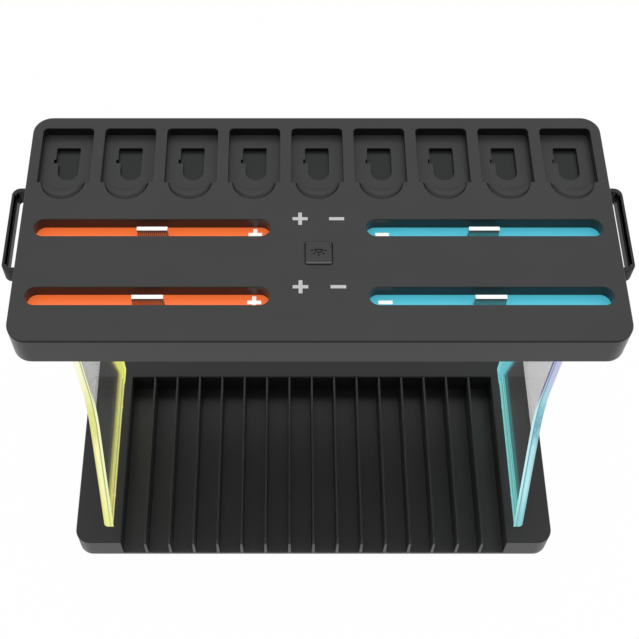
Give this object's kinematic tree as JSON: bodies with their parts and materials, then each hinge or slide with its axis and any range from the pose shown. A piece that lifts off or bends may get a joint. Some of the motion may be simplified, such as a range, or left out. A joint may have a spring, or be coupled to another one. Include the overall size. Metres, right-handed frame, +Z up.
{
  "type": "charging station organizer",
  "caption": "Desk charging station organizer: upright case rack base, edge-lit clear side panels and a top tray with card wells, controller charging slots, light button and pull-out loops.",
  "frame": {"origin": "middle of the overall footprint, on the surface that the rubber feet stand on", "axes": "+X to the right along the tray, +Y to the rear, +Z up"},
  "size_m": [0.2966, 0.1562, 0.1946],
  "materials": {
    "shell_plastic": "fine-grained charcoal moulding",
    "loop_plastic": "fine-grained charcoal moulding",
    "button_plastic": "smooth charcoal key",
    "orange_plastic": "satin orange",
    "cyan_plastic": "satin cyan",
    "white_plastic": "satin white",
    "contact_metal": "bright plated strips",
    "chip_plastic": "black component body",
    "circuit_board": "green circuit board",
    "light_chips": "pale light chips",
    "left_clear_panel": "clear acrylic, edges glow yellow-green",
    "right_clear_panel": "clear acrylic, edges glow cyan to violet",
    "inlet_steel": "drawn shell",
    "screw_steel": "dark steel",
    "foot_rubber": "matt black rubber"
  },
  "bodies": {
    "station": {"tray_top_cover": "shell_plastic", "tray_bottom_cover": "shell_plastic", "base_frame": "shell_plastic", "base_plate": "shell_plastic", "case_dividers": "shell_plastic", "front_left_pad": "orange_plastic", "rear_left_pad": "orange_plastic", "front_right_pad": "cyan_plastic", "rear_right_pad": "cyan_plastic", "front_left_connector": "white_plastic", "rear_left_connector": "white_plastic", "front_right_connector": "white_plastic", "rear_right_connector": "white_plastic", "connector_contacts": "contact_metal", "switch_body": "chip_plastic", "board_chips": "chip_plastic", "main_board": "circuit_board", "left_lights": "light_chips", "right_lights": "light_chips", "left_side_panel": "left_clear_panel", "right_side_panel": "right_clear_panel", "inlet_shell": "inlet_steel", "inlet_tongue": "chip_plastic", "base_feet": "foot_rubber", "base_screws": "screw_steel", "cover_screws": "screw_steel", "board_screws": "screw_steel", "panel_top_screws": "screw_steel", "panel_foot_screws": "screw_steel"},
    "mode_button": {"button_cap": "button_plastic", "switch_plunger": "chip_plastic"},
    "left_loop": {"left_hanger_loop": "loop_plastic"},
    "right_loop": {"right_hanger_loop": "loop_plastic"}
  },
  "joints": [
    {"name": "button_press", "type": "slide", "parent": "station", "child": "mode_button", "axis": [0, 0, -1], "range_m": [0, 0.0008], "stiffness_N_per_m": 900, "springref_m": -0.001},
    {"name": "left_loop_slide", "type": "slide", "parent": "station", "child": "left_loop", "axis": [-1, 0, 0], "range_m": [0, 0.0156]},
    {"name": "right_loop_slide", "type": "slide", "parent": "station", "child": "right_loop", "axis": [1, 0, 0], "range_m": [0, 0.0156]}
  ]
}
